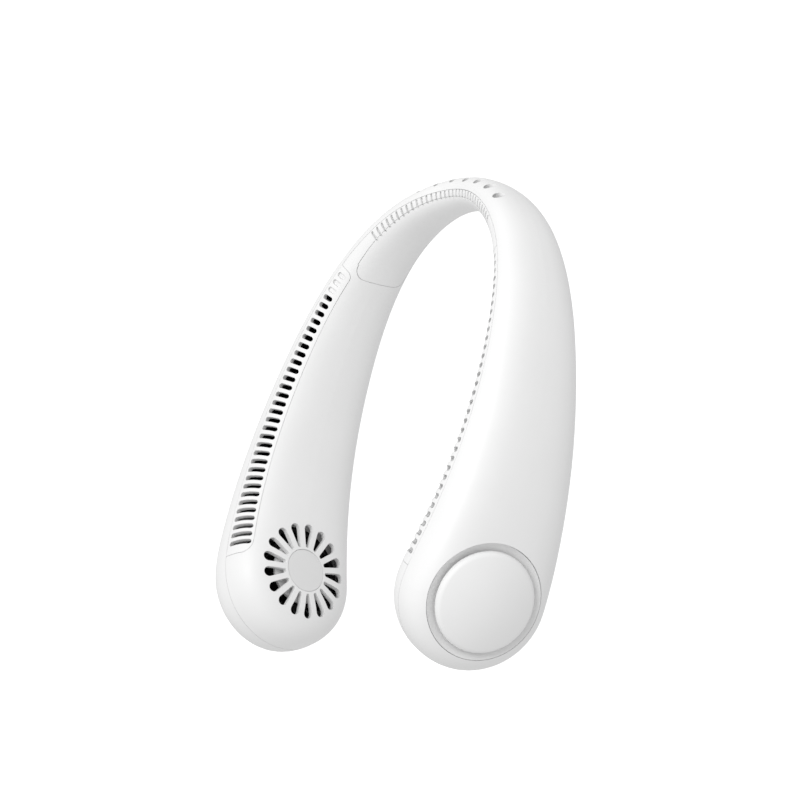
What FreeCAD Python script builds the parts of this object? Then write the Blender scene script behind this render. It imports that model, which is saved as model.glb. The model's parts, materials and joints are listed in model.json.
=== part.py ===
"""Neck fan: a U-shaped housing with a centrifugal blower in the bulb at the end of each arm.

Frame: +Y runs to the arch behind the neck, +Z up towards the air outlets, and z = 0 is the surface
that the fan lies on. Lengths are in millimetres and angles in degrees. Paired pieces are modelled
on the +X arm and mirrored. Values ending in share or shares are parts of another size or counts.
"""
import math
import os

import FreeCAD
import Part

Vector = FreeCAD.Vector

# Centre line in plan: half the arch, then the arm that curves in to the bulb
arch_radius = 79.5
arch_angle = 66.8
arm_radius = 177.0
arm_angle = 41.5

# Sections: small at the arch, large at the bulb
arch_height = 20.5
arch_thickness = 14.0
bulb_height = 61.0
bulb_thickness = 36.2
taper_ease = 10.0
height_taper_share = 1.26
thickness_taper_share = 1.6
arch_handle_share = 0.62
bulb_handle_share = 0.8
mid_roll = -1.6
bulb_roll = 7.0
station_shares = (0, 0.14, 0.28, 0.42, 0.56, 0.7, 0.82, 0.91, 0.97, 1)

# Walls, seams and fits
wall = 2.2
seam_gap = 0.15
fit_gap = 0.15
running_gap = 0.04
seat_gap = 0.05
overrun = 3.0
probe_share = 0.002

# Outlet strip: its ends along the arm, its edge down the section, its slots
strip_start_share = 0.33
strip_end_share = 0.97
strip_top_edge_share = 0.49
strip_foot_edge_share = 0.45
strip_corner = 3.0
strip_foot_corner = 6.0
slot_count = 34
blind_slot_count = 3
slot_width = 2.2
slot_top_length = 4.5
slot_foot_length = 11.5
slot_centre_share = 0.46
blind_depth = 1.2
slot_first_share = 0.347
slot_last_share = 0.945

# Pad inside the arch
pad_thickness = 1.2
pad_end_share = 0.333
pad_middle_edge_share = 0.25
pad_end_edge_share = 0.47
pad_foot_edge_share = 1.6
pad_corner = 5.0
pad_slot_count = 32
pad_slot_middle_length = 3.6
pad_slot_end_length = 5.2
pad_slot_width = 1.2
pad_slot_depth = 1.5
pad_slot_end_share = 0.232
pad_slot_middle_share = 0.17
pad_slot_edge_share = 0.225

# Scooped recesses on the arch
scoop_count = 9
scoop_radius = 2.2
scoop_length = 8.0
scoop_sink = 0.4
scoop_pitch = 11.0
scoop_slant = 38.0
scoop_edge_share = 0.5

# Fan axis: its place off the bulb's own axis
fan_back = 1.2
fan_rise = 0.2

# Inner grille
grille_count = 17
grille_margin = 11.2
grille_outer_radius = bulb_height / 2 - grille_margin
grille_inner_radius = 11.5
grille_outer_width = 4.4
grille_inner_width = 1.7
grille_turn_share = 0.5
disc_radius = 9.5
disc_thickness = 0.8

# Outer intake
ring_margin = 6.3
ring_radius = bulb_height / 2 - ring_margin
ring_wall = 1.6
ring_flare = 5.0
throat_radius = ring_radius - ring_flare
throat_depth = 1.4
hollow_width_share = 0.62
hollow_height_share = 0.32
ledge_width = 3.7
eye_radius = throat_radius - ledge_width
cap_gap = 3.3
cap_radius = ring_radius - cap_gap
cap_thickness = 1.5
cap_skirt = 2.3
cap_rise = 2.4
cap_dome = 4.0
cap_edge = 2.0
leg_count = 3
leg_turn = 160.0
leg_radius = 1.3

# Motor
plate_radius = 14.0
plate_thickness = 1.2
plate_standoff = 2.0
boss_radius = 2.2
boss_ring_radius = 6.5
screw_count = 3
screw_radius = 0.9
screw_head_radius = 1.7
screw_head_height = 1.2
screw_length = 3.6
shaft_radius = 1.0
tube_wall = 1.8
tube_length = 10.0
stator_radius = 8.4
stator_height = 5.0
stator_lift = 3.2
pole_count = 6
pole_width = 2.2
pole_shoe = 1.2
yoke_wall = 1.4
coil_build = 1.1
air_gap = 0.5
magnet_thickness = 1.5
rotor_wall = 0.8
rotor_height = 10.0
rotor_lift = 1.2
hub_radius = 3.0

# Impeller
impeller_margin = 9.0
impeller_radius = bulb_height / 2 - impeller_margin
blade_depth = 5.0
blade_root_radius = impeller_radius - blade_depth
blade_count = 30
blade_thickness = 0.7
blade_sweep = 16.0
blade_bulge = 1.2
impeller_width = 18.5
impeller_lift = 1.4
web_thickness = 1.2
rim_width = 2.2
rim_thickness = 1.0
sleeve_wall = 1.2

# Battery cells and their cradles, each with the lining of the air duct over the cell
cell_radius = 6.5
cell_length = 44.0
cell_share = 0.62
cell_floor = 3.248585
shelf_thickness = 1.2
shelf_gap = 0.3
rib_thickness = 1.6
rib_inset = 8.0
lining_thickness = 0.8
lining_start_share = 0.35
lining_end_share = 0.86
lining_foot_edge_share = 1.1
lining_gap_share = 0.06

# Controls on the lower outer side of one arm
control_share = 0.42
control_edge_share = 1.5
button_length = 11.0
button_width = 5.0
button_rise = 0.5
button_travel = 0.5
button_gap = 0.2
button_seat = 1.2
button_flange = 1.0
flange_thickness = 1.0
stem_radius = 1.4
switch_size = 4.6
switch_height = 2.2
plunger_radius = 1.1
plunger_height = 0.8
board_length = 35.0
board_offset = 2.0
board_width = 9.0
board_thickness = 1.2
board_depth = 8.4
socket_length = 8.9
socket_width = 3.3
socket_wall = 0.4
socket_recess = 1.0
socket_offset = 15.0
tongue_thickness = 0.7
tongue_width = 6.7
light_radius = 1.2
light_collar = 0.6
light_offset = 9.0
post_radius = 1.3
arch_post_offset = 13.0
bulb_post_offset = 8.5

# Leads round the arch
loom_radius = 1.2
loom_share = 0.33

# Screws under the pad
arch_screw_shares = (0.1, 0.27)
arch_screw_length = 6.0
cup_floor = 1.2
arch_boss_radius = 2.6


class Station:
    """Section plane of the housing at a share of an arm's centre line, 0 at the arch, 1 at the bulb."""

    def __init__(self, share):
        side = -1 if share < 0 else 1
        far = abs(share)
        travel = far * line_length()
        bend = min(travel / arch_radius, math.radians(arch_angle))
        rest = max(travel - arch_length(), 0) / arm_radius
        heading = bend + rest
        across = arch_radius * math.sin(bend) + arm_radius * (math.sin(heading) - math.sin(bend))
        back = arch_radius * math.cos(bend) + arm_radius * (math.cos(heading) - math.cos(bend))
        grown = taper(far)
        self.half_thickness = blend(arch_thickness, bulb_thickness, grown ** thickness_taper_share) / 2
        self.half_height = blend(arch_height, bulb_height, grown ** height_taper_share) / 2
        self.handle_share = blend(arch_handle_share, bulb_handle_share, grown)
        roll = math.radians(bulb_roll * far * (2 * far - 1) + mid_roll * 4 * far * (1 - far))
        normal = Vector(side * math.sin(heading), math.cos(heading), 0)
        rise = Vector(0, 0, 1)
        self.centre = Vector(side * across, back, self.half_height)
        self.out = normal * math.cos(roll) + rise * math.sin(roll)
        self.up = rise * math.cos(roll) - normal * math.sin(roll)
        self.along = Vector(side * math.cos(heading), -math.sin(heading), 0)

    def point(self, across, up):
        return self.centre + self.out * across + self.up * up


def blend(start, stop, share):
    return start + (stop - start) * share


def arch_length():
    return arch_radius * math.radians(arch_angle)


def line_length():
    return arch_length() + arm_radius * math.radians(arm_angle)


def taper(share):
    """Growth from 0 at the arch to 1 at the bulb, levelling off at the bulb."""
    left = math.hypot(line_length() * (1 - share), taper_ease) - taper_ease
    return 1 - left / (math.hypot(line_length(), taper_ease) - taper_ease)


def quarter(station, side, rise, inset, gap):
    """Bezier poles from the top or bottom middle of the section to its side."""
    deep = station.half_thickness - inset
    tall = station.half_height - inset
    hold = station.handle_share
    flat = [(gap, tall), (hold * deep, tall), (deep, hold * tall), (deep, 0)]
    return [station.point(side * across, rise * up) for across, up in flat]


def blossom(poles, shares):
    """Point of a Bezier curve where all shares are alike, or a pole of a stretch of it."""
    row = list(poles)
    for share in shares:
        row = [blend(first, second, share) for first, second in zip(row, row[1:])]
    return row[0]


def stretch(poles, start, stop):
    """Poles of the stretch of a cubic Bezier curve between two shares."""
    return [blossom(poles, [start] * (3 - n) + [stop] * n) for n in range(4)]


def half_runs(station, side, start, stop, inset, gap=seam_gap / 2):
    """Curves down one half of the section: 0 is the top middle, 1 the side, 2 the bottom middle."""
    runs = []
    if start < 1:
        runs.append(stretch(quarter(station, side, 1, inset, gap), start, min(stop, 1)))
    if stop > 1:
        runs.append(stretch(quarter(station, side, -1, inset, gap)[::-1], max(start, 1) - 1, stop - 1))
    return runs


def bezier_edge(poles):
    curve = Part.BezierCurve()
    curve.setPoles(poles)
    return curve.toShape()


def closed_wire(runs):
    """Wire of the curves in turn, joined by straight lines where they don't meet."""
    edges = []
    for run, following in zip(runs, runs[1:] + runs[:1]):
        edges.append(bezier_edge(run))
        if not run[-1].isEqual(following[0], fit_gap / overrun):
            edges.append(Part.makeLine(run[-1], following[0]))
    return Part.Wire(edges)


def band(station, side, start, stop, outer, inner, gap):
    """Closed outline of a stretch of wall between two insets."""
    back = [run[::-1] for run in half_runs(station, side, start, stop, inner, gap)[::-1]]
    return closed_wire(half_runs(station, side, start, stop, outer, gap) + back)


def shares_between(start, stop):
    """Stations from start to stop, with those of the table that lie between."""
    table = sorted({sign * share for share in station_shares for sign in (-1, 1)})
    return [start] + [share for share in table if start < share < stop] + [stop]


def wall_loft(side, ends, start, stop, outer, inner, gap=seam_gap / 2):
    """Lofted stretch of wall between two stations; start and stop are functions of the share along."""
    outlines = [band(Station(s), side, start(s), stop(s), outer, inner, gap) for s in shares_between(*ends)]
    return Part.makeLoft(outlines, True)


def cavity(first, last, inset):
    """Solid inside the housing between two stations, an inset away from its skin."""
    outlines = []
    for share in shares_between(first, last):
        station = Station(share)
        right = half_runs(station, 1, 0, 2, inset)
        left = [run[::-1] for run in half_runs(station, -1, 0, 2, inset)[::-1]]
        outlines.append(closed_wire(right + left))
    return Part.makeLoft(outlines, True)


def bulb_end(share, side):
    """Rounded end of one half of the housing: its section turned about the bulb's own axis."""
    station = Station(share)
    outer = half_runs(station, side, 0, 1, 0)
    inner = [run[::-1] for run in half_runs(station, side, 0, 1, wall)]
    face = Part.Face(closed_wire(outer + inner))
    return face.revolve(station.centre, station.out, 180 if share > 0 else -180)


def half_housing(side):
    middle = wall_loft(side, (-1, 1), top_middle, lambda share: 2, 0, wall)
    return middle.fuse([bulb_end(-1, side), bulb_end(1, side)]).removeSplitter()


def mirrored(shape):
    return shape.mirror(Vector(0, 0, 0), Vector(1, 0, 0))


def bulb_frame():
    """Place of the right fan: local Z out along its axis, X up, Y to the end of the arm.

    The axis leans by as much as the domed face does where it lies, so that the ring sits flush.
    """
    station = Station(1)
    step = ring_radius * probe_share
    fall = (dome_height(ring_radius - step, 0) - dome_height(ring_radius + step, 0)) / (2 * step)
    offset = station.up * fan_rise - station.along * fan_back
    axis = (station.out + offset * (fall / ring_radius)).normalize()
    up = (station.up - axis * station.up.dot(axis)).normalize()
    return frame_at(station.centre + offset, up, axis)


def frame_at(origin, x_axis, z_axis):
    y_axis = z_axis.cross(x_axis)
    matrix = FreeCAD.Matrix(
        x_axis.x, y_axis.x, z_axis.x, origin.x,
        x_axis.y, y_axis.y, z_axis.y, origin.y,
        x_axis.z, y_axis.z, z_axis.z, origin.z,
        0, 0, 0, 1)
    return FreeCAD.Placement(matrix)


def placed(shape, frame):
    copy = shape.copy()
    copy.Placement = frame.multiply(copy.Placement)
    return copy


def spun(points):
    """Solid of revolution about local Z from (radius, height) points."""
    corners = [Vector(radius, 0, height) for radius, height in points]
    face = Part.Face(Part.makePolygon(corners + corners[:1]))
    return face.revolve(Vector(0, 0, 0), Vector(0, 0, 1), 360)


def rod(radius, low, high, x=0, y=0):
    return Part.makeCylinder(radius, high - low, Vector(x, y, low))


def tube(outer, inner, low, high):
    return rod(outer, low, high).cut(rod(inner, low - overrun, high + overrun))


def around(count, radius, start=0):
    """Centres of a ring of copies, with the angle of each."""
    for n in range(count):
        turn = start + 2 * math.pi * n / count
        yield radius * math.cos(turn), radius * math.sin(turn), math.degrees(turn)


def pill(length, width, low, high):
    """Bar with round ends along local X."""
    reach = (length - width) / 2
    core = Part.makeBox(2 * reach, width, high - low, Vector(-reach, -width / 2, low))
    ends = [rod(width / 2, low, high, x) for x in (-reach, reach)]
    return core.fuse(ends).removeSplitter()


def box(length, width, low, high, x=0):
    return Part.makeBox(length, width, high - low, Vector(x - length / 2, -width / 2, low))


def skin_point(share, side, edge):
    """Point on the skin at a share of the arm and a place down the half section, from 0 to 2."""
    poles = quarter(Station(share), side, 1 if edge < 1 else -1, 0, 0)
    return blossom(poles, [edge if edge < 1 else 2 - edge] * 3)


def skin_frame(share, side, edge):
    """Place on the skin: local Z out of the surface, X down the section, Y along the arm."""
    here = skin_point(share, side, edge)
    run = (skin_point(share, side, edge + probe_share) - here).normalize()
    line = (skin_point(share + probe_share, side, edge) - here).normalize()
    outward = run.cross(line).normalize()
    if outward.dot(here - Station(share).centre) < 0:
        outward = outward * -1
    return frame_at(here, run, outward)


def dome_height(radius, inset):
    """Height of the bulb's skin above its middle plane at a radius from its axis."""
    station = Station(1)
    low, high = 0, 1
    poles = quarter(station, 1, 1, inset, 0)
    for _ in range(40):
        spot = (low + high) / 2
        if (blossom(poles, [spot] * 3) - station.centre).dot(station.up) > radius:
            low = spot
        else:
            high = spot
    return (blossom(poles, [low] * 3) - station.centre).dot(station.out)


def top_middle(share):
    return 0


def strip_edge(share):
    along = (share - strip_start_share) / (strip_end_share - strip_start_share)
    return blend(strip_top_edge_share, strip_foot_edge_share, along)


def gap_share(share):
    """Seam gap as a share of the quarter section at a station."""
    return seam_gap / bezier_edge(quarter(Station(share), 1, 1, 0, 0)).Length


def corner_tool(share, edge, down, back, radius):
    """Cutter that rounds a corner of a piece on the inner skin.

    The piece lies down the section from the corner where down is 1, and towards the arch of the
    +X arm where back is 1; it lies the other way where they are -1.
    """
    here = skin_point(share, -1, edge)
    run = skin_point(share, -1, edge + down * probe_share) - here
    line = skin_point(share - back * probe_share, -1, edge) - here
    run.normalize()
    line.normalize()
    half_angle = run.getAngle(line) / 2
    reach = radius / math.tan(half_angle)
    inward = (run + line).normalize()
    centre = here + inward * (radius / math.sin(half_angle))
    first, second = here + run * reach, here + line * reach
    spare = [first - line * overrun, here - (run + line) * overrun, second - run * overrun]
    corners = [first] + spare + [second]
    edges = [Part.makeLine(start, stop) for start, stop in zip(corners, corners[1:])]
    edges.append(Part.Arc(second, centre - inward * radius, first).toShape())
    depth = run.cross(line).normalize() * (2 * overrun)
    face = Part.Face(Part.Wire(edges))
    face.translate(depth * -1)
    return face.extrude(depth * 2)


def outlet_slots():
    """Cutters of the outlet slots, the first few of them blind."""
    for n in range(slot_count):
        along = n / (slot_count - 1)
        share = blend(slot_first_share, slot_last_share, along)
        length = blend(slot_top_length, slot_foot_length, along)
        floor = -blind_depth if n < blind_slot_count else -2 * wall
        spot = skin_frame(share, -1, strip_edge(share) * slot_centre_share)
        yield placed(pill(length, slot_width, floor, overrun), spot)


def vent_strip():
    ends = (strip_start_share, strip_end_share)
    strip = wall_loft(-1, ends, top_middle, strip_edge, 0, wall)
    return strip.cut(strip_corners(ends, strip_edge, 0) + list(outlet_slots()))


def strip_corners(ends, edge, widen):
    radii = (strip_corner + widen, strip_foot_corner + widen)
    return [corner_tool(share, edge(share), -1, back, radius)
            for share, back, radius in zip(ends, (-1, 1), radii)]


def strip_pocket():
    """Room for the strip in the inner shell, wider than it by the seam and open at the middle seam."""
    margin = seam_gap / line_length()
    ends = (strip_start_share - margin, strip_end_share + margin)
    room = wall_loft(-1, ends, top_middle, wide_strip_edge, -overrun / 2, wall + overrun / 2, -seam_gap / 2)
    return room.cut(strip_corners(ends, wide_strip_edge, seam_gap))


def wide_strip_edge(share):
    return strip_edge(share) + gap_share(share)


def pad_slots():
    """Cutters of the shallow slots across the joint between the pad and the shell above it."""
    for n in range(pad_slot_count):
        share = blend(-pad_slot_end_share, pad_slot_end_share, n / (pad_slot_count - 1))
        away = (share / pad_slot_end_share) ** 2
        length = blend(pad_slot_middle_length, pad_slot_end_length, away)
        cutter = pill(length, pad_slot_width, -pad_slot_depth, overrun)
        yield placed(cutter, skin_frame(share, -1, blend(pad_slot_middle_share, pad_slot_edge_share, away)))


def pad_stretch(widen, skin, core):
    """The pad's stretch of wall between two insets, widened all round, with rounded corners."""
    margin = widen / line_length()
    ends = (-pad_end_share - margin, pad_end_share + margin)
    spread = widen * gap_share(0) / seam_gap

    def top(share):
        away = (share / pad_end_share) ** 2
        return blend(pad_middle_edge_share, pad_end_edge_share, away) - spread

    def foot(share):
        return pad_foot_edge_share + spread

    tools = []
    for edge, down in ((top, 1), (foot, -1)):
        for share, back in zip(ends, (-1, 1)):
            tools.append(corner_tool(share, edge(share), down, back, pad_corner + widen))
    return wall_loft(-1, ends, top, foot, skin, core).cut(tools)


def neck_pad():
    return pad_stretch(0, 0, pad_thickness).cut(list(pad_slots()))


def pad_pocket():
    return pad_stretch(seam_gap, -overrun / 2, pad_thickness + seat_gap)


def scoops():
    """Cutters of the scooped recesses, each a round-nosed bar that runs out of the skin at its foot."""
    lean = math.radians(scoop_slant)
    nose = Vector(0, 0, -scoop_sink)
    bar = Part.makeCylinder(scoop_radius, scoop_length, nose, Vector(math.cos(lean), 0, math.sin(lean)))
    cutter = bar.fuse(Part.makeSphere(scoop_radius, nose)).removeSplitter()
    for n in range(scoop_count):
        share = (n - (scoop_count - 1) / 2) * scoop_pitch / line_length()
        yield placed(cutter, skin_frame(share, 1, scoop_edge_share))


def grille_slots():
    """Tapered slots round the middle of the inner face, through its wall."""
    low = -bulb_thickness / 2 - overrun
    high = -dome_height(grille_outer_radius + grille_outer_width, wall) + overrun
    wide, narrow = grille_outer_width / 2, grille_inner_width / 2
    reach = grille_outer_radius - grille_inner_radius
    lean = math.asin((wide - narrow) / reach)
    corners = []
    for radius, centre, sign in ((narrow, grille_inner_radius, 1), (wide, grille_outer_radius, 1),
                                 (wide, grille_outer_radius, -1), (narrow, grille_inner_radius, -1)):
        corners.append(Vector(centre - radius * math.sin(lean), sign * radius * math.cos(lean), low))
    inner_tip = Vector(grille_inner_radius - narrow, 0, low)
    outer_tip = Vector(grille_outer_radius + wide, 0, low)
    outline = Part.Wire([
        Part.makeLine(corners[0], corners[1]),
        Part.Arc(corners[1], outer_tip, corners[2]).toShape(),
        Part.makeLine(corners[2], corners[3]),
        Part.Arc(corners[3], inner_tip, corners[0]).toShape()])
    slot = Part.Face(outline).extrude(Vector(0, 0, high - low))
    for n in range(grille_count):
        copy = slot.copy()
        copy.rotate(Vector(0, 0, 0), Vector(0, 0, 1), 360 * (n + grille_turn_share) / grille_count)
        yield copy


def dome_layer(outer, inner):
    """Layer of the bulb's inner dome between two insets, all the way round its axis."""
    station = Station(1)
    runs = half_runs(station, -1, 0, 1, outer)
    runs += [run[::-1] for run in half_runs(station, -1, 0, 1, inner)]
    return Part.Face(closed_wire(runs)).revolve(station.centre, station.out, 360)


def centre_disc():
    plug = placed(rod(disc_radius, -bulb_thickness, 0), bulb_frame())
    return dome_layer(0, disc_thickness).common(plug)


def disc_recess():
    plug = placed(rod(disc_radius + seam_gap, -bulb_thickness, 0), bulb_frame())
    return dome_layer(-overrun / 2, disc_thickness + seat_gap).common(plug)


def plate_low():
    return -bulb_thickness / 2 + wall + plate_standoff


def plate_top():
    return plate_low() + plate_thickness


def motor_bosses():
    spots = around(screw_count, boss_ring_radius)
    return [rod(boss_radius, screw_foot(), plate_low(), x, y) for x, y, _ in spots]


def motor_screw_holes():
    high = plate_top() + overrun
    spots = around(screw_count, boss_ring_radius)
    return [rod(screw_radius, screw_foot(), high, x, y) for x, y, _ in spots]


def screw_foot():
    return plate_top() - screw_length - fit_gap


def motor_screws():
    screws = []
    for x, y, _ in around(screw_count, boss_ring_radius):
        shank = rod(screw_radius, plate_top() - screw_length, plate_top(), x, y)
        head = rod(screw_head_radius, plate_top(), plate_top() + screw_head_height, x, y)
        screws.append(shank.fuse(head).removeSplitter())
    return screws


def motor_plate():
    disc = rod(plate_radius, plate_low(), plate_top()).cut(motor_screw_holes())
    return disc.cut(rod(tube_radius() - tube_wall / 2, plate_low() - overrun, plate_top() + overrun))


def tube_radius():
    return shaft_radius + running_gap + tube_wall


def bearing_tube():
    """Bush with a spigot into the plate and a blind bore that carries the shaft."""
    spigot = rod(tube_radius() - tube_wall / 2, plate_low(), plate_top())
    barrel = rod(tube_radius(), plate_top(), plate_top() + tube_length)
    bore = rod(shaft_radius + running_gap, plate_top(), plate_top() + tube_length + overrun)
    return spigot.fuse(barrel).removeSplitter().cut(bore)


def stator_low():
    return plate_top() + stator_lift


def yoke_radius():
    return tube_radius() + yoke_wall


def stator_core():
    low, high = stator_low(), stator_low() + stator_height
    core = tube(yoke_radius(), tube_radius(), low, high)
    shoes = tube(stator_radius, stator_radius - pole_shoe, low, high)
    core = core.fuse([shoes] + [spoke(pole_width, low, high, turn) for _, _, turn in around(pole_count, 1)])
    half_turn = math.pi / pole_count
    slits = [spoke_slit(low, high, turn) for _, _, turn in around(pole_count, 1, half_turn)]
    return core.removeSplitter().cut(slits)


def spoke(width, low, high, turn):
    start = tube_radius() + yoke_wall / 2
    reach = stator_radius - pole_shoe / 2 - start
    bar = Part.makeBox(reach, width, high - low, Vector(start, -width / 2, low))
    bar.rotate(Vector(0, 0, 0), Vector(0, 0, 1), turn)
    return bar


def spoke_slit(low, high, turn):
    start = yoke_radius()
    corner = Vector(start, -pole_shoe / 2, low - overrun)
    slit = Part.makeBox(stator_radius, pole_shoe, high - low + 2 * overrun, corner)
    slit.rotate(Vector(0, 0, 0), Vector(0, 0, 1), turn)
    return slit


def stator_coils():
    """One wound bobbin round each pole."""
    low, high = stator_low(), stator_low() + stator_height
    start = yoke_radius() + fit_gap
    width = pole_width + 2 * coil_build
    reach = math.sqrt((stator_radius - pole_shoe - fit_gap) ** 2 - (width / 2) ** 2) - start
    coils = []
    for _, _, turn in around(pole_count, 1):
        coil = Part.makeBox(
            reach, width, high - low + 2 * coil_build, Vector(start, -width / 2, low - coil_build))
        coil = coil.makeFillet(coil_build / 2, [e for e in coil.Edges if abs(e.tangentAt(0).x) > fit_gap])
        corner = Vector(start - overrun, -pole_width / 2, low)
        window = Part.makeBox(reach + 2 * overrun, pole_width, high - low, corner)
        coil = coil.cut(window)
        coil.rotate(Vector(0, 0, 0), Vector(0, 0, 1), turn)
        coils.append(coil)
    return coils


def rotor_low():
    return plate_top() + rotor_lift


def rotor_top():
    return rotor_low() + rotor_height


def magnet_radius():
    return stator_radius + air_gap + magnet_thickness


def rotor_radius():
    return magnet_radius() + rotor_wall


def rotor_cup():
    cup = rod(rotor_radius(), rotor_low(), rotor_top()).cut(
        rod(magnet_radius(), rotor_low() - overrun, rotor_top() - rotor_wall))
    collar = rod(hub_radius, rotor_top() - rotor_wall, rotor_top() + rotor_wall)
    return cup.fuse(collar).removeSplitter().cut(rod(shaft_radius, rotor_low(), rotor_top() + overrun))


def magnet_ring():
    inside = magnet_radius() - magnet_thickness
    return tube(magnet_radius(), inside, rotor_low(), rotor_top() - 2 * rotor_wall)


def shaft():
    return rod(shaft_radius, plate_top() + seat_gap, rotor_top() + rotor_wall)


def blade(low, high):
    """Curved blade from its root to the impeller's rim, an arc of constant thickness."""
    turn = math.radians(blade_sweep)
    root = Vector(blade_root_radius, 0, low)
    tip_radius = impeller_radius - blade_thickness / 2
    tip = Vector(tip_radius * math.cos(turn), tip_radius * math.sin(turn), low)
    chord = tip - root
    side = Vector(-chord.y, chord.x, 0).normalize()
    middle = root + chord * 0.5 - side * blade_bulge
    half = side * (blade_thickness / 2)
    outline = Part.Wire([
        Part.Arc(root + half, middle + half, tip + half).toShape(),
        Part.makeLine(tip + half, tip - half),
        Part.Arc(tip - half, middle - half, root - half).toShape(),
        Part.makeLine(root - half, root + half)])
    return Part.Face(outline).extrude(Vector(0, 0, high - low))


def impeller():
    """Double-inlet drum: blades on both sides of a web, tied by a rim at each end."""
    low, high = plate_top() + impeller_lift, plate_top() + impeller_lift + impeller_width
    middle = (low + high) / 2
    sleeve = tube(rotor_radius() + sleeve_wall, rotor_radius(), rotor_low(), rotor_top())
    reach = web_thickness / 2
    web = tube(impeller_radius, rotor_radius() + sleeve_wall / 2, middle - reach, middle + reach)
    rims = [
        tube(impeller_radius, impeller_radius - rim_width, low, low + rim_thickness),
        tube(impeller_radius, impeller_radius - rim_width, high - rim_thickness, high)]
    bore = rod(rotor_radius(), low, high)
    blades = []
    for n in range(blade_count):
        copy = blade(low, high).cut(bore)
        copy.rotate(Vector(0, 0, 0), Vector(0, 0, 1), 360 * n / blade_count)
        blades.append(copy)
    return sleeve.fuse([web] + rims + blades).removeSplitter()


def ring_edge():
    return dome_height(ring_radius, 0)


def ledge_height():
    return ring_edge() - throat_depth


def intake_ring():
    """Concave ring that leads the air from the bulb's face to the impeller's eye."""
    edge, ledge = ring_edge(), ledge_height()
    rim = Vector(ring_radius, 0, edge)
    throat = Vector(throat_radius, 0, ledge)
    hollow = Vector(
        blend(throat_radius, ring_radius, hollow_width_share), 0, blend(ledge, edge, hollow_height_share))
    under = ledge - ring_wall
    points = [
        throat, Vector(eye_radius, 0, ledge), Vector(eye_radius, 0, under),
        Vector(throat_radius + ring_wall, 0, under), Vector(ring_radius, 0, edge - ring_wall), rim]
    edges = [Part.Arc(rim, hollow, throat).toShape()]
    edges += [Part.makeLine(first, second) for first, second in zip(points, points[1:])]
    return Part.Face(Part.Wire(edges)).revolve(Vector(0, 0, 0), Vector(0, 0, 1), 360)


def intake_cap():
    """Domed cap with a skirt, on legs that stand on the ring's ledge."""
    top = ring_edge() + cap_rise
    ceiling, foot = top - cap_thickness, top - cap_skirt
    inside = cap_radius - cap_thickness
    crown = Vector(0, 0, top + cap_dome)
    shoulder = Vector(cap_radius - cap_edge, 0, top)
    side = Vector(cap_radius, 0, top - cap_edge)
    ball = (shoulder.x ** 2 + cap_dome ** 2) / (2 * cap_dome)
    lean = math.asin(shoulder.x / ball) / 2
    between = Vector(ball * math.sin(lean), 0, crown.z - ball * (1 - math.cos(lean)))
    corner = Vector(shoulder.x, 0, side.z) + Vector(1, 0, 1).normalize() * cap_edge
    turns = [Part.Arc(side, corner, shoulder).toShape(), Part.Arc(shoulder, between, crown).toShape()]
    points = [crown, Vector(0, 0, ceiling), Vector(inside, 0, ceiling), Vector(inside, 0, foot),
              Vector(cap_radius, 0, foot), side]
    edges = [Part.makeLine(first, second) for first, second in zip(points, points[1:])] + turns
    cap = Part.Face(Part.Wire(edges)).revolve(Vector(0, 0, 0), Vector(0, 0, 1), 360)
    stand = (eye_radius + throat_radius) / 2
    spots = around(leg_count, stand, math.radians(leg_turn))
    legs = [rod(leg_radius, ledge_height(), ceiling + cap_thickness / 2, x, y) for x, y, _ in spots]
    return cap.fuse(legs).removeSplitter()


def cell_frame():
    """Place of the right battery cell: local Z along the arm, X up."""
    station = Station(cell_share)
    drop = station.half_height - wall - cell_floor - cell_radius
    return frame_at(station.point(0, -drop), station.up, station.along)


def battery():
    can = rod(cell_radius, -cell_length / 2, cell_length / 2)
    nub = rod(cell_radius / 3, cell_length / 2, cell_length / 2 + shelf_thickness)
    return placed(can.fuse(nub).removeSplitter(), cell_frame())


def battery_cradle():
    """Shelf over the cell with two saddles, and the lining of the air duct above it."""
    reach = cell_length / 2
    margin = 2 * rib_thickness / line_length()
    half = reach / line_length() + margin
    under = cell_radius + fit_gap
    aside = -bulb_thickness / 2
    parts = [Part.makeBox(shelf_thickness, bulb_thickness, cell_length, Vector(under, aside, -reach))]
    for spot in (-reach + rib_inset, reach - rib_inset - rib_thickness):
        corner = Vector(-bulb_height, aside, spot)
        parts.append(Part.makeBox(bulb_height + under, bulb_thickness, rib_thickness, corner))
    solid = placed(parts[0].fuse(parts[1:]).removeSplitter(), cell_frame())
    inset = wall + shelf_gap + lining_thickness / 2
    solid = solid.common(cavity(cell_share - half, cell_share + half, inset))
    bore = rod(cell_radius + fit_gap, -cell_length, cell_length)
    return solid.cut(placed(bore, cell_frame())).fuse(duct_lining()).removeSplitter()


def duct_lining():
    """Thin lining down both sides of the air duct, open where the outlet strip lies."""
    ends = (lining_start_share, lining_end_share)
    outer = wall + shelf_gap
    inner = outer + lining_thickness

    def under_strip(share):
        return strip_edge(share) + lining_gap_share

    def foot(share):
        return lining_foot_edge_share

    return [wall_loft(1, ends, top_middle, foot, outer, inner),
            wall_loft(-1, ends, under_strip, foot, outer, inner)]


def control_frame():
    """Place of the controls on the -X arm: local Z out of the skin, X along the arm to the bulb."""
    spot = skin_frame(-control_share, 1, control_edge_share)
    outward = spot.multVec(Vector(0, 0, 1)) - spot.Base
    along = Station(-control_share).along
    along = (along - outward * along.dot(outward)).normalize()
    return frame_at(spot.Base, along, outward)


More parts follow.
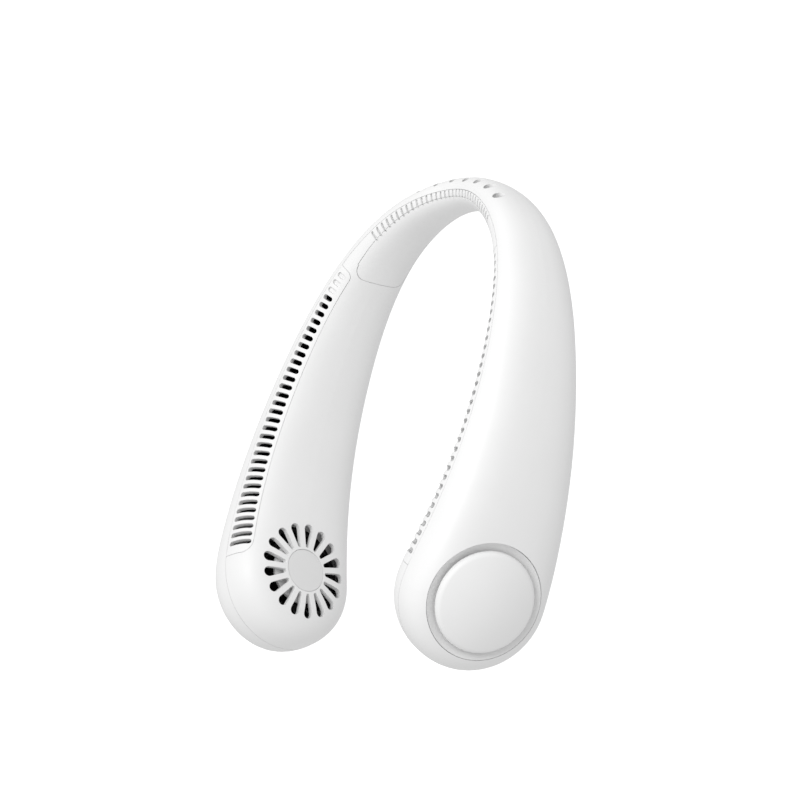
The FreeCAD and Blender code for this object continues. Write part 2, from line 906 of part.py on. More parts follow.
def control_cuts():
    """Openings in the outer shell for the button, the charging socket and the light."""
    wide = 2 * (button_flange + button_gap)
    loose = 2 * fit_gap
    return [placed(cut, control_frame()) for cut in (
        pill(button_length + 2 * button_gap, button_width + 2 * button_gap, -overrun, overrun),
        pill(button_length + wide, button_width + wide, -board_depth, -button_seat),
        moved(pill(socket_length + loose, socket_width + loose, -board_depth, overrun), socket_offset),
        rod(light_radius + fit_gap, -board_depth, overrun, -light_offset))]


def moved(shape, x):
    shape.translate(Vector(x, 0, 0))
    return shape


def board_posts():
    """Posts of the outer shell that carry the control board, ended inside its wall."""
    posts = [rod(post_radius, -board_depth, overrun, x) for x in (-arch_post_offset, bulb_post_offset)]
    reach = board_length / line_length()
    inside = cavity(-control_share - reach, -control_share + reach, wall / 2)
    return [placed(post, control_frame()).common(inside) for post in posts]


def power_button():
    top_of_flange = -button_seat - button_gap
    stem_foot = switch_top() + plunger_height + button_travel + button_gap
    cap = pill(button_length, button_width, top_of_flange, button_rise)
    flange = pill(button_length + 2 * button_flange, button_width + 2 * button_flange,
                  top_of_flange - flange_thickness, top_of_flange)
    stem = rod(stem_radius, stem_foot, top_of_flange)
    return placed(cap.fuse([flange, stem]).removeSplitter(), control_frame())


def switch_top():
    return -board_depth + switch_height


def tact_switch():
    body = box(switch_size, switch_size, -board_depth, switch_top())
    plunger = rod(plunger_radius, switch_top(), switch_top() + plunger_height)
    return placed(body.fuse(plunger).removeSplitter(), control_frame())


def control_board():
    low = -board_depth - board_thickness
    return placed(box(board_length, board_width, low, -board_depth, board_offset), control_frame())


def usb_socket():
    """Upright socket: a pill-shaped shroud, its floor and the tongue inside."""
    top = -socket_recess
    shroud = pill(socket_length, socket_width, -board_depth, top)
    thin = 2 * socket_wall
    inside = pill(socket_length - thin, socket_width - thin, switch_top(), overrun)
    tongue = box(tongue_width, tongue_thickness, -board_depth, top - socket_recess)
    return placed(moved(shroud.cut(inside).fuse(tongue).removeSplitter(), socket_offset), control_frame())


def light_pipe():
    low = -board_depth + light_collar
    rodlet = rod(light_radius, low, -light_collar, -light_offset)
    collar = rod(light_radius + light_collar, low, low + light_collar, -light_offset)
    return placed(rodlet.fuse(collar).removeSplitter(), control_frame())


def wire_loom():
    """Leads on the floor of the housing, round the arch from arm to arm."""
    height = wall + shelf_gap + loom_radius
    spots = [Station(share).centre for share in (-loom_share, 0, loom_share)]
    ends = [Vector(spot.x, spot.y, height) for spot in spots]
    path = Part.Wire([Part.Arc(*ends).toShape()])
    profile = Part.Wire([Part.makeCircle(loom_radius, ends[0], Station(-loom_share).along)])
    return path.makePipeShell([profile], True, False)


def screw_frames():
    """Places of the screws under the pad: local Z out along the section."""
    for share in arch_screw_shares:
        for side in (-1, 1):
            station = Station(side * share)
            yield station.half_thickness, frame_at(station.centre, station.up, station.out)


def shell_screw_pieces():
    """Screws under the pad with the cup, hole and boss that each needs in the shells."""
    screws, cups, holes, bosses = [], [], [], []
    for half, frame in screw_frames():
        seat = -half + pad_thickness + seat_gap
        head_foot = seat + fit_gap + screw_head_height
        cup_foot = head_foot + cup_floor
        screw = rod(screw_head_radius, seat + fit_gap, head_foot).fuse(
            rod(screw_radius, head_foot, head_foot + arch_screw_length)).removeSplitter()
        well = rod(screw_head_radius + fit_gap, -half - overrun, head_foot).fuse(
            rod(screw_radius, head_foot - fit_gap, head_foot + arch_screw_length)).removeSplitter()
        cup = rod(screw_head_radius + cup_floor, -half + wall - fit_gap, cup_foot)
        boss = rod(arch_boss_radius, cup_foot + seat_gap, half - wall / 2)
        for group, shape in ((screws, screw), (cups, cup), (holes, well), (bosses, boss)):
            group.append(placed(shape, frame))
    return screws, cups, holes, bosses


def both(name, shape):
    """A right-hand piece and its mirrored twin."""
    return {name + "_right": shape, name + "_left": mirrored(shape)}


def in_bulb(shape):
    return placed(shape, bulb_frame())


def pair(shapes):
    return shapes + [mirrored(shape) for shape in shapes]


def outer_shell(bosses):
    hole = in_bulb(rod(ring_radius + seam_gap, 0, bulb_thickness))
    shell = half_housing(1).cut(pair([hole]))
    shell = shell.fuse(bosses + board_posts())
    return shell.cut(list(scoops()) + control_cuts())


def inner_shell(cups, wells):
    shell = half_housing(-1).cut(pair([strip_pocket(), disc_recess()]) + [pad_pocket()])
    shell = shell.fuse(cups + pair([in_bulb(boss) for boss in motor_bosses()]))
    cuts = pair([in_bulb(cut) for cut in list(grille_slots()) + motor_screw_holes()])
    return shell.cut(cuts + wells + list(pad_slots()))


def build():
    screws, cups, wells, bosses = shell_screw_pieces()
    nodes = {
        "outer_shell": outer_shell(bosses).cut(wells),
        "inner_shell": inner_shell(cups, wells),
        "neck_pad": neck_pad(),
        "control_board": control_board(),
        "tact_switch": tact_switch(),
        "usb_socket": usb_socket(),
        "light_pipe": light_pipe(),
        "power_button": power_button(),
        "wire_loom": wire_loom(),
        "shell_screws": Part.makeCompound(screws),
        "motor_screws": Part.makeCompound(pair([in_bulb(screw) for screw in motor_screws()])),
    }
    nodes.update(both("vent_strip", vent_strip()))
    nodes.update(both("centre_disc", centre_disc()))
    nodes.update(both("battery", battery()))
    nodes.update(both("battery_cradle", battery_cradle()))
    nodes.update(both("stator_coils", in_bulb(Part.makeCompound(stator_coils()))))
    turned = {
        "intake_ring": intake_ring, "intake_cap": intake_cap, "motor_plate": motor_plate,
        "bearing_tube": bearing_tube, "stator_core": stator_core, "rotor_cup": rotor_cup,
        "magnet_ring": magnet_ring, "shaft": shaft, "impeller": impeller}
    for name, make in turned.items():
        nodes.update(both(name, in_bulb(make())))
    return nodes


def main():
    nodes = build()
    box_of_all = Part.makeCompound([nodes["outer_shell"], nodes["inner_shell"]]).optimalBoundingBox()
    rest = Vector(0, -box_of_all.Center.y, -box_of_all.ZMin)
    os.makedirs("parts", exist_ok=True)
    for name, shape in sorted(nodes.items()):
        shape.translate(rest)
        shape.exportStep(f"parts/{name}.step")
        print(name, shape.isValid(), len(shape.Solids), round(shape.Volume, 1))
    bulb = bulb_frame()
    button = control_frame()
    print("size", box_of_all.XLength, box_of_all.YLength, box_of_all.ZLength)
    print("right fan axis", bulb.Base + rest, bulb.multVec(Vector(0, 0, 1)) - bulb.Base)
    print("button axis", button.Base + rest, button.multVec(Vector(0, 0, -1)) - button.Base)


main()
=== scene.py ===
"""Neck fan: looks, floor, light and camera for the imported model, laid out as a Blender add-on."""
import json
import math

import bpy
import numpy as np
from bpy.props import FloatProperty, FloatVectorProperty, IntProperty, PointerProperty
from mathutils import Matrix, Vector


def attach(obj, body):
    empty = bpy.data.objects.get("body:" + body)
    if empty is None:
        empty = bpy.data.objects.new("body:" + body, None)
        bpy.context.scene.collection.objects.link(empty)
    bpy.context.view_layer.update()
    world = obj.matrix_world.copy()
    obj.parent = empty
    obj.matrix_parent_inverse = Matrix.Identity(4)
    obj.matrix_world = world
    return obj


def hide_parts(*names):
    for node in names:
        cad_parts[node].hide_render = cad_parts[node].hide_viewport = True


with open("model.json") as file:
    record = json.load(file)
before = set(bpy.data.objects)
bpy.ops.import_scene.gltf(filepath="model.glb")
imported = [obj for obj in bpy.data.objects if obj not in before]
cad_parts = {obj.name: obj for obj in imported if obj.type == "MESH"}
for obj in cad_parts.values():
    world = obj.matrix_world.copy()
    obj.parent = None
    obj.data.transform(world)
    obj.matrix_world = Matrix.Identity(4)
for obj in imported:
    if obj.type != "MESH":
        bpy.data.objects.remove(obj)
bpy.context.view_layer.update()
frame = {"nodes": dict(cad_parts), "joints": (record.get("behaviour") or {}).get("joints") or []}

bl_info = {
    "name": "Neck fan looks",
    "version": (1, 0, 0),
    "blender": (4, 5, 0),
    "location": "View3D > Sidebar > Neck Fan",
    "description": "Dresses the packed neck fan in moulded plastic and metal and sets its stage",
    "category": "Object",
}

MM = 0.001
MICRON = 0.000001
WHITE = (1, 1, 1, 1)

# Stretch of a noise that carries most of its values, and of the open sky over a recess that sets
# the painted shade
NOISE_MIDDLE = (0.3, 0.7)
RECESS_SKY = (0.3, 0.9)
SKY_SAMPLES = 8
EDGE_SAMPLES = 6

# Plastic: waves per metre and loss of colour in its flow, patches and change in its roughness
FLOW_SCALE = 28
FLOW_SHADE = 0.025
PATCH_SCALE = 120
PATCH_CHANGE = (-0.03, 0.05)
PLASTIC_GLOSS = 0.3
SATIN_RELIEF = 6 * MICRON
DISC_RELIEF = 8 * MICRON
DISC_ROUGHNESS = 0.5
PLATE_ROUGHNESS = 0.5
BLADE_ROUGHNESS = 0.45
CRADLE_ROUGHNESS = 0.6

# Metal: waves per metre and loss of colour in its mottle, change in its roughness
MOTTLE_SCALE = 300
MOTTLE_SHADE = 0.15
WORKED_CHANGE = (-0.08, 0.08)

# Inner pieces: nodes, then name of the finish, colour, roughness, size of grain, depth of relief
MOTOR_METALS = (
    (["rotor_cup"], "drawn_steel", (0.5, 0.51, 0.53), 0.35, 0.4 * MM, 4 * MICRON),
    (["shaft"], "ground_steel", (0.62, 0.63, 0.65), 0.25, 0.3 * MM, 2 * MICRON),
    (["stator_core"], "laminations", (0.35, 0.36, 0.38), 0.45, 0.3 * MM, 10 * MICRON),
    (["bearing_tube"], "turned_brass", (0.6, 0.44, 0.18), 0.3, 0.3 * MM, 3 * MICRON),
    (["stator_coils"], "enamelled_copper", (0.5, 0.2, 0.08), 0.3, 0.2 * MM, 20 * MICRON))
MOTOR_MOULDINGS = (
    (["magnet_ring"], "bonded_ferrite", (0.04, 0.04, 0.043), 0.6, 0.3 * MM, 10 * MICRON),)
ELECTRIC_METALS = (
    (["usb_socket"], "stamped_steel", (0.55, 0.56, 0.58), 0.3, 0.3 * MM, 3 * MICRON),
    (["shell_screws", "motor_screws"], "zinc_plate", (0.5, 0.5, 0.52), 0.35, 0.3 * MM, 4 * MICRON))
ELECTRIC_MOULDINGS = (
    (["battery"], "cell_wrap", (0.03, 0.12, 0.25), 0.35, 2 * MM, 10 * MICRON),
    (["control_board"], "solder_mask", (0.01, 0.09, 0.04), 0.3, 0.6 * MM, 10 * MICRON),
    (["tact_switch"], "switch_black", (0.02, 0.02, 0.02), 0.5, 0.3 * MM, 5 * MICRON),
    (["light_pipe"], "light_clear", (0.6, 0.7, 0.75), 0.2, 1 * MM, 3 * MICRON),
    (["wire_loom"], "sleeve_black", (0.02, 0.02, 0.02), 0.6, 0.4 * MM, 20 * MICRON))

# Imported caps: their legs, and the shares of their reach and legs taken as rim and feet
LEG_COUNT = 3
LEG_FACET_PARTS = 6
RIM_SHARE = 0.99
FEET_SHARE = 0.1

# Floor and camera
FLOOR_SCALE = 3
FLOOR_SHADE = 0.01
FLOOR_ROUGHNESS = 0.9
FLOOR_GLOSS = 0.1
SENSOR_WIDTH = 36
CLIP_END = 20


class NeckFanFinish(bpy.types.PropertyGroup):
    """Colours and surface finish of the fan's pieces."""

    shell_colour: FloatVectorProperty(
        name="Shell", description="Colour of the moulded housing",
        subtype="COLOR", size=3, min=0, max=1, default=(0.82, 0.82, 0.82))
    disc_colour: FloatVectorProperty(
        name="Disc", description="Colour of the plain disc in the grille",
        subtype="COLOR", size=3, min=0, max=1, default=(0.74, 0.74, 0.74))
    plate_colour: FloatVectorProperty(
        name="Motor plate", description="Colour of the plate behind the grille",
        subtype="COLOR", size=3, min=0, max=1, default=(0.8, 0.8, 0.8))
    # Dark mouldings: the impellers' own black, and painted shade where the same black lines the air
    # ducts
    dark_colour: FloatVectorProperty(
        name="Dark mouldings",
        description="Colour of the impellers and the linings of the air ducts",
        subtype="COLOR", size=3, min=0, max=1, default=(0.012, 0.012, 0.013))
    shell_roughness: FloatProperty(
        name="Shell roughness", description="Roughness of the satin mouldings",
        subtype="FACTOR", default=0.42, min=0, max=1)
    grain: FloatProperty(
        name="Grain", description="Size of the mould's spark-eroded grain",
        unit="LENGTH", default=0.35 * MM, min=0.1 * MM, max=10 * MM)
    edge: FloatProperty(
        name="Edge", description="Radius that softens the mouldings' edges",
        unit="LENGTH", default=0.3 * MM, min=0)
    # Painted shade in the outer shell's recesses: the width a recess needs to gather it, and the
    # share of colour it takes
    hollow_reach: FloatProperty(
        name="Hollow reach",
        description="Width below which a recess in the outer shell gathers shade",
        unit="LENGTH", default=4 * MM, min=0)
    hollow_shade: FloatProperty(
        name="Hollow shade", description="Share of the colour lost at the bottom of a recess",
        subtype="FACTOR", default=0.8, min=0, max=1)


class NeckFanCaps(bpy.types.PropertyGroup):
    """Form of the outer intakes' caps; reach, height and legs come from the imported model."""

    roll: FloatProperty(
        name="Rolled edge", description="Radius of the roll between the cap's dome and its side",
        unit="LENGTH", default=2.6 * MM, min=0.1 * MM)
    side: FloatProperty(
        name="Side", description="Height of the straight side under the roll",
        unit="LENGTH", default=0.5 * MM, min=0)
    wall: FloatProperty(
        name="Wall", description="Thickness of the cap",
        unit="LENGTH", default=1.5 * MM, min=0.1 * MM)
    turns: IntProperty(name="Turns", description="Facets round the cap", default=180, min=18)
    steps: IntProperty(
        name="Steps", description="Facets from the crown to the edge", default=40, min=4)


class NeckFanStage(bpy.types.PropertyGroup):
    """Camera, floor and lights."""

    aim: FloatVectorProperty(
        name="Aim", description="Point that the camera looks at",
        subtype="TRANSLATION", unit="LENGTH", size=3, default=(-0.00220, 0.00584, 0.02793))
    azimuth: FloatProperty(
        name="Azimuth", description="Camera's turn about the vertical",
        unit="ROTATION", default=math.radians(82.77))
    elevation: FloatProperty(
        name="Elevation", description="Camera's angle above the floor",
        unit="ROTATION", default=math.radians(30.12))
    roll: FloatProperty(
        name="Roll", description="Camera's turn about its own axis",
        unit="ROTATION", default=math.radians(-78.41))
    distance: FloatProperty(
        name="Distance", description="From the camera to its aim", unit="LENGTH", default=1.2869)
    lens: FloatProperty(
        name="Lens", description="Focal length on a 36 mm sensor", unit="CAMERA", default=136.39)
    floor_size: FloatProperty(
        name="Floor", description="Side of the square floor", unit="LENGTH", default=6.0)
    floor_colour: FloatVectorProperty(
        name="Floor colour", description="Colour of the pale floor",
        subtype="COLOR", size=3, min=0, max=1, default=(0.25, 0.25, 0.25))
    floor_glow: FloatProperty(
        name="Floor glow", description="Light that comes through the floor, as from a light table",
        default=1.0, min=0)
    key_place: FloatVectorProperty(
        name="Key place", description="Where the soft box hangs",
        subtype="TRANSLATION", unit="LENGTH", size=3, default=(0.56, 0.4, 1.13))
    key_size: FloatProperty(
        name="Key size", description="Diameter of the soft box", unit="LENGTH", default=0.9)
    key_power: FloatProperty(
        name="Key", description="Power of the soft box", unit="POWER", default=8.9)
    sky: FloatProperty(
        name="Sky", description="Strength of the even light all round", default=0.75, min=0)


def colour_socket(sockets, name):
    """Of a mixing node's sockets that share a name, the one for colours."""
    return next(socket for socket in sockets if socket.name == name and socket.type == "RGBA")


class Nodes:
    """Shader tree of one material, with short calls for its nodes."""

    def __init__(self, name):
        self.material = bpy.data.materials.new(name)
        self.material.use_nodes = True
        self.tree = self.material.node_tree
        self.shader = self.tree.nodes["Principled BSDF"]
        self.place = self.add("ShaderNodeTexCoord").outputs["Object"]

    def add(self, kind, **values):
        node = self.tree.nodes.new(kind)
        for name, value in values.items():
            setattr(node, name, value)
        return node

    def link(self, source, target):
        self.tree.links.new(source, target)

    def noise(self, scale, detail=2):
        """Noise of so many waves per metre, with octaves of detail."""
        node = self.add("ShaderNodeTexNoise")
        node.inputs["Scale"].default_value = scale
        node.inputs["Detail"].default_value = detail
        self.link(self.place, node.inputs["Vector"])
        return node.outputs["Fac"]

    def spread(self, value, low, high, taken=NOISE_MIDDLE):
        """Brings a stretch of a value, by default a noise's middle, to run from low to high."""
        node = self.add("ShaderNodeMapRange")
        node.inputs["From Min"].default_value, node.inputs["From Max"].default_value = taken
        node.inputs["To Min"].default_value = low
        node.inputs["To Max"].default_value = high
        self.link(value, node.inputs["Value"])
        return node.outputs["Result"]

    def tint(self, value, first, second):
        """Colour that wanders between two with a value."""
        node = self.add("ShaderNodeMix", data_type="RGBA")
        for name, colour in (("A", first), ("B", second)):
            colour_socket(node.inputs, name).default_value = (*colour, 1)
        self.link(self.spread(value, 0, 1), node.inputs["Factor"])
        return colour_socket(node.outputs, "Result")

    def shade_hollows(self, colour, reach, share):
        """Painted shade: darkens a colour where the piece's own walls shut out the light within a
        reach.
        """
        sky = self.add("ShaderNodeAmbientOcclusion", samples=SKY_SAMPLES, only_local=True)
        sky.inputs["Distance"].default_value = reach
        node = self.add("ShaderNodeMix", data_type="RGBA", blend_type="MULTIPLY")
        node.inputs["Factor"].default_value = 1
        self.link(colour, colour_socket(node.inputs, "A"))
        light = self.spread(sky.outputs["AO"], 1 - share, 1, RECESS_SKY)
        self.link(light, colour_socket(node.inputs, "B"))
        return colour_socket(node.outputs, "Result")

    def bump(self, value, relief, edge=0):
        """Fine relief, over normals that are rounded along the edges where edge is a radius."""
        node = self.add("ShaderNodeBump")
        node.inputs["Strength"].default_value = 1
        node.inputs["Distance"].default_value = relief
        self.link(value, node.inputs["Height"])
        if edge:
            rounding = self.add("ShaderNodeBevel", samples=EDGE_SAMPLES)
            rounding.inputs["Radius"].default_value = edge
            self.link(rounding.outputs["Normal"], node.inputs["Normal"])
        self.link(node.outputs["Normal"], self.shader.inputs["Normal"])


def shaded(colour, share):
    """A colour brought darker by a share."""
    return tuple(channel * (1 - share) for channel in colour)


def moulded(name, colour, roughness, grain, relief, edge=0, hollow=None):
    """Moulded plastic: fine grain in the bump, slow flow in the colour, patches in the roughness.

    A hollow is the reach and share of the painted shade in the piece's recesses.
    """
    nodes = Nodes(name)
    flow = nodes.tint(nodes.noise(FLOW_SCALE, detail=3), colour, shaded(colour, FLOW_SHADE))
    if hollow:
        flow = nodes.shade_hollows(flow, *hollow)
    nodes.link(flow, nodes.shader.inputs["Base Color"])
    ends = [roughness + change for change in PATCH_CHANGE]
    patches = nodes.spread(nodes.noise(PATCH_SCALE, detail=3), *ends)
    nodes.link(patches, nodes.shader.inputs["Roughness"])
    nodes.bump(nodes.noise(1 / grain), relief, edge)
    nodes.shader.inputs["Specular IOR Level"].default_value = PLASTIC_GLOSS
    return nodes.material


def satin_white(name, finish, **more):
    """Satin moulding in the colour of the housing, under a name of its own."""
    return moulded(
        name, finish.shell_colour, finish.shell_roughness, finish.grain, SATIN_RELIEF, **more)


def metal(name, colour, roughness, grain, relief):
    """Worked metal: mottle in the colour, grain in the roughness and, twice as wide, the bump."""
    nodes = Nodes(name)
    mottle = nodes.tint(nodes.noise(MOTTLE_SCALE, detail=3), colour, shaded(colour, MOTTLE_SHADE))
    nodes.link(mottle, nodes.shader.inputs["Base Color"])
    ends = [roughness + change for change in WORKED_CHANGE]
    worked = nodes.spread(nodes.noise(1 / grain, detail=3), *ends)
    nodes.link(worked, nodes.shader.inputs["Roughness"])
    nodes.bump(nodes.noise(1 / (2 * grain)), relief)
    nodes.shader.inputs["Metallic"].default_value = 1
    return nodes.material


def vertices(node):
    """All the points of a CAD node."""
    mesh = frame["nodes"][node].data
    flat = np.empty(len(mesh.vertices) * 3)
    mesh.vertices.foreach_get("co", flat)
    return flat.reshape(-1, 3)


def fan_frame(side):
    """A point on a fan's axis and three unit rows: two across the axis, then the axis, outwards."""
    joint = next(joint for joint in frame["joints"] if joint["name"] == f"fan_{side}_spin")
    axis = np.array(joint["axis"]) / np.linalg.norm(joint["axis"])
    across = np.cross(axis, (0, 0, 1))
    across /= np.linalg.norm(across)
    return np.array(joint["pos_m"]), np.stack([across, np.cross(axis, across), axis])


def turned(radii, heights, turns, centre=(0, 0)):
    """A profile that turns about an upright line, closed at both ends.

    Each point but the first and last of the profile goes round a circle, x = radius * cos(turn) and
    y = radius * sin(turn) from the centre, and z = height. The first and last lie on the line.
    """
    turn = np.linspace(0, 2 * math.pi, turns, endpoint=False)
    rings = np.stack([radii[1:-1, None] * np.cos(turn), radii[1:-1, None] * np.sin(turn),
                      np.repeat(heights[1:-1, None], turns, axis=1)], axis=-1).reshape(-1, 3)
    points = np.vstack([(0, 0, heights[0]), rings, (0, 0, heights[-1])]) + (*centre, 0)
    here = 1 + np.arange(len(rings)).reshape(-1, turns)
    beside = np.roll(here, -1, axis=1)
    quads = np.stack([here[:-1], here[1:], beside[1:], beside[:-1]], axis=-1).reshape(-1, 4)
    top = np.stack([np.zeros(turns, int), here[0], beside[0]], axis=-1)
    bottom = np.stack([here[-1], np.full(turns, len(points) - 1), beside[-1]], axis=-1)
    return points, quads.tolist() + top.tolist() + bottom.tolist()


def mesh_piece(name, parts, material, sharp=math.radians(35)):
    """One object of several parts, each an array of points and a list of faces."""
    starts = np.cumsum([0] + [len(points) for points, _ in parts])
    faces = [[start + corner for corner in face]
             for start, (_, faces) in zip(starts, parts) for face in faces]
    mesh = bpy.data.meshes.new(name)
    mesh.from_pydata(np.vstack([points for points, _ in parts]).tolist(), [], faces)
    mesh.polygons.foreach_set("use_smooth", np.ones(len(faces), bool))
    mesh.set_sharp_from_angle(angle=sharp)
    mesh.materials.append(material)
    piece = bpy.data.objects.new(name, mesh)
    bpy.context.scene.collection.objects.link(piece)
    return piece


def dress(material, *names):
    """Gives a material to CAD nodes, each named with no side or with both."""
    for name in names:
        for node in (name, name + "_left", name + "_right"):
            if node in frame["nodes"]:
                mesh = frame["nodes"][node].data
                mesh.materials.clear()
                mesh.materials.append(material)


def dress_all(make, table):
    """Gives each row's nodes a finish of one kind, moulded or metal."""
    for nodes, *look in table:
        dress(make(*look), *nodes)


class NECKFAN_OT_housing(bpy.types.Operator):
    """Satin white mouldings of the housing"""

    bl_idname = "neckfan.housing"
    bl_label = "Housing"

    def execute(self, context):
        finish = context.scene.neckfan_finish
        dress(satin_white("satin_white", finish, edge=finish.edge),
              "inner_shell", "vent_strip", "neck_pad", "power_button")
        hollow = (finish.hollow_reach, finish.hollow_shade)
        # The outer shell's colour is darkened in its recesses: painted shade
        dress(satin_white("scooped_white_painted_shade", finish, edge=finish.edge, hollow=hollow), "outer_shell")
        return {"FINISHED"}


class NECKFAN_OT_intakes(bpy.types.Operator):
    """Rings and discs of the intakes"""

    bl_idname = "neckfan.intakes"
    bl_label = "Intakes"

    def execute(self, context):
        finish = context.scene.neckfan_finish
        dress(satin_white("intake_white", finish, edge=finish.edge), "intake_ring")
        disc = moulded("disc_white", finish.disc_colour, DISC_ROUGHNESS, finish.grain, DISC_RELIEF)
        dress(disc, "centre_disc")
        return {"FINISHED"}


class NECKFAN_OT_caps(bpy.types.Operator):
    """Domed caps with a rolled edge over the outer intakes"""

    bl_idname = "neckfan.caps"
    bl_label = "Caps"

    def execute(self, context):
        form = context.scene.neckfan_caps
        white = satin_white("cap_white", context.scene.neckfan_finish)
        for side in ("left", "right"):
            node = f"intake_cap_{side}"
            place, rows = fan_frame(side)
            spots = rows @ (vertices(node) - place).T
            away, height = np.hypot(spots[0], spots[1]), spots[2]
            reach = away.max()
            foot = height[away > RIM_SHARE * reach].min()
            parts = [self.dome(form, reach, foot, height.max())] + self.legs(form, spots, foot)
            parts = [(place + points @ rows, faces) for points, faces in parts]
            cap = mesh_piece(f"domed_cap_{side}", parts, white)
            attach(cap, "housing")
            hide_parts(node)
        return {"FINISHED"}

    def dome(self, form, reach, foot, crown):
        """Cap: a ball's crown that rolls over its edge into a straight side, hollow beneath.

        The ball's radius is the one that lets the roll touch both the ball and the side.
        """
        inner, drop = reach - form.roll, crown - foot - form.side
        ball = (inner ** 2 + drop ** 2 - form.roll ** 2) / (2 * (drop - form.roll))
        meeting = math.asin(inner / (ball - form.roll))
        crest = np.linspace(0, meeting, form.steps)
        roll = np.linspace(meeting, math.pi / 2, form.steps // 2)[1:]
        hollow = reach - form.wall
        radii = [ball * np.sin(crest), inner + form.roll * np.sin(roll), [reach, hollow, hollow, 0]]
        ceiling = foot + form.side + form.roll - form.wall
        heights = [crown - ball * (1 - np.cos(crest)), crown - drop + form.roll * np.cos(roll),
                   [foot, foot, ceiling, ceiling]]
        return turned(np.concatenate(radii), np.concatenate(heights), form.turns)

    def legs(self, form, spots, foot):
        """Round legs under the cap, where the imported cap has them.

        The first one's turn about the axis is the mean turn of the feet's points, taken modulo the
        angle from leg to leg.
        """
        low = spots[2].min()
        feet = spots[:, spots[2] < low + FEET_SHARE * (foot - low)]
        away, turn = np.hypot(feet[0], feet[1]), np.arctan2(feet[1], feet[0])
        ring, radius = (away.max() + away.min()) / 2, (away.max() - away.min()) / 2
        first = np.angle(np.exp(1j * LEG_COUNT * turn).mean()) / LEG_COUNT
        top = foot + form.side + form.roll
        radii, heights = np.array([0, radius, radius, 0]), np.array([top, top, low, low])
        angles = first + np.arange(LEG_COUNT) * 2 * math.pi / LEG_COUNT
        centres = ring * np.stack([np.cos(angles), np.sin(angles)], axis=-1)
        return [turned(radii, heights, form.turns // LEG_FACET_PARTS, centre) for centre in centres]


class NECKFAN_OT_blowers(bpy.types.Operator):
    """Impellers and motors"""

    bl_idname = "neckfan.blowers"
    bl_label = "Blowers"

    def execute(self, context):
        finish = context.scene.neckfan_finish
        black = moulded(
            "impeller_black", finish.dark_colour, BLADE_ROUGHNESS, finish.grain, SATIN_RELIEF)
        dress(black, "impeller")
        grey = moulded(
            "plate_grey", finish.plate_colour, PLATE_ROUGHNESS, finish.grain, SATIN_RELIEF)
        dress(grey, "motor_plate")
        dress_all(metal, MOTOR_METALS)
        dress_all(moulded, MOTOR_MOULDINGS)
        return {"FINISHED"}


class NECKFAN_OT_electrics(bpy.types.Operator):
    """Cells, board, socket, leads and screws"""

    bl_idname = "neckfan.electrics"
    bl_label = "Electrics"

    def execute(self, context):
        finish = context.scene.neckfan_finish
        # The cradle is a real part; its black, carried on as lining of the air ducts, is painted
        # shade that darkens the view through the vent slots
        black = moulded(
            "cradle_black_painted_shade", finish.dark_colour, CRADLE_ROUGHNESS, finish.grain, SATIN_RELIEF)
        dress(black, "battery_cradle")
        dress_all(metal, ELECTRIC_METALS)
        dress_all(moulded, ELECTRIC_MOULDINGS)
        return {"FINISHED"}


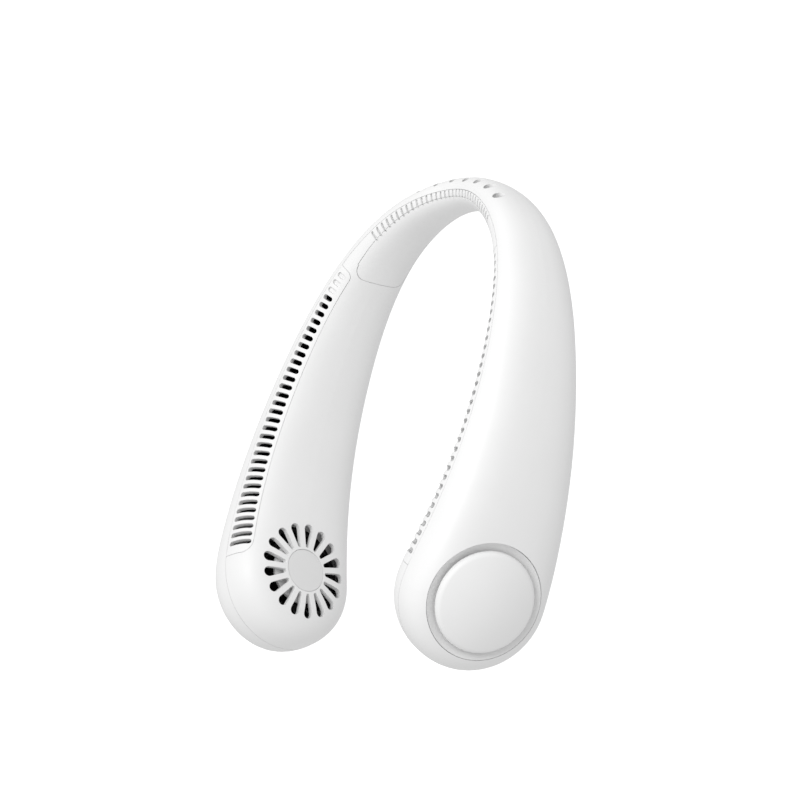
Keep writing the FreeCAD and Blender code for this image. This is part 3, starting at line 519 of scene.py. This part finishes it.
class NECKFAN_OT_stage(bpy.types.Operator):
    """Floor, lights and camera"""

    bl_idname = "neckfan.stage"
    bl_label = "Stage"

    def execute(self, context):
        stage = context.scene.neckfan_stage
        self.floor(context.scene, stage)
        self.lights(context.scene, stage)
        self.camera(context.scene, stage)
        return {"FINISHED"}

    def floor(self, scene, stage):
        half = stage.floor_size / 2
        corners = [(-half, -half, 0), (half, -half, 0), (half, half, 0), (-half, half, 0)]
        mesh = bpy.data.meshes.new("floor")
        mesh.from_pydata(corners, [], [(0, 1, 2, 3)])
        floor = bpy.data.objects.new("floor", mesh)
        scene.collection.objects.link(floor)
        nodes = Nodes("pale_floor")
        darker = shaded(stage.floor_colour, FLOOR_SHADE)
        pale = nodes.tint(nodes.noise(FLOOR_SCALE), stage.floor_colour, darker)
        nodes.link(pale, nodes.shader.inputs["Base Color"])
        nodes.shader.inputs["Roughness"].default_value = FLOOR_ROUGHNESS
        nodes.shader.inputs["Specular IOR Level"].default_value = FLOOR_GLOSS
        nodes.shader.inputs["Emission Color"].default_value = WHITE
        nodes.shader.inputs["Emission Strength"].default_value = stage.floor_glow
        mesh.materials.append(nodes.material)
        floor.visible_diffuse = floor.visible_glossy = floor.visible_shadow = False

    def lights(self, scene, stage):
        world = bpy.data.worlds.new("studio")
        world.use_nodes = True
        background = world.node_tree.nodes["Background"]
        background.inputs["Color"].default_value = WHITE
        background.inputs["Strength"].default_value = stage.sky
        scene.world = world
        key = bpy.data.lights.new("soft_box", "AREA")
        key.shape = "DISK"
        key.size = stage.key_size
        key.energy = stage.key_power
        box = bpy.data.objects.new("soft_box", key)
        box.location = stage.key_place
        away = Vector(stage.key_place) - Vector(stage.aim)
        box.rotation_euler = away.to_track_quat("Z", "Y").to_euler()
        scene.collection.objects.link(box)

    def camera(self, scene, stage):
        back = Vector((
            math.sin(stage.azimuth) * math.cos(stage.elevation),
            -math.cos(stage.azimuth) * math.cos(stage.elevation),
            math.sin(stage.elevation)))
        level = Vector((0, 0, 1)).cross(back).normalized()
        right = level * math.cos(stage.roll) + back.cross(level) * math.sin(stage.roll)
        turn = Matrix((right, back.cross(right), back)).transposed()
        place = Vector(stage.aim) + back * stage.distance
        data = bpy.data.cameras.new("camera")
        data.lens = stage.lens
        data.sensor_width = SENSOR_WIDTH
        data.clip_end = CLIP_END
        camera = bpy.data.objects.new("camera", data)
        camera.matrix_world = Matrix.Translation(place) @ turn.to_4x4()
        scene.collection.objects.link(camera)
        scene.camera = camera
        scene.view_settings.view_transform = "Standard"


class NECKFAN_PT_panel(bpy.types.Panel):
    """Lists the fan's operators"""

    bl_idname = "NECKFAN_PT_panel"
    bl_label = "Neck Fan"
    bl_space_type = "VIEW_3D"
    bl_region_type = "UI"
    bl_category = "Neck Fan"

    def draw(self, context):
        for operator in OPERATORS:
            self.layout.operator(operator.bl_idname)
        scene = context.scene
        for group in (scene.neckfan_finish, scene.neckfan_caps, scene.neckfan_stage):
            for name in group.__annotations__:
                self.layout.prop(group, name)


OPERATORS = (
    NECKFAN_OT_housing, NECKFAN_OT_intakes, NECKFAN_OT_caps, NECKFAN_OT_blowers,
    NECKFAN_OT_electrics, NECKFAN_OT_stage)
CLASSES = (NeckFanFinish, NeckFanCaps, NeckFanStage, *OPERATORS, NECKFAN_PT_panel)


def register():
    for cls in CLASSES:
        bpy.utils.register_class(cls)
    bpy.types.Scene.neckfan_finish = PointerProperty(type=NeckFanFinish)
    bpy.types.Scene.neckfan_caps = PointerProperty(type=NeckFanCaps)
    bpy.types.Scene.neckfan_stage = PointerProperty(type=NeckFanStage)


def unregister():
    del bpy.types.Scene.neckfan_stage
    del bpy.types.Scene.neckfan_caps
    del bpy.types.Scene.neckfan_finish
    for cls in reversed(CLASSES):
        bpy.utils.unregister_class(cls)


def main():
    register()
    bpy.ops.neckfan.housing()
    bpy.ops.neckfan.intakes()
    bpy.ops.neckfan.caps()
    bpy.ops.neckfan.blowers()
    bpy.ops.neckfan.electrics()
    bpy.ops.neckfan.stage()


if __name__ == "__main__":
    main()
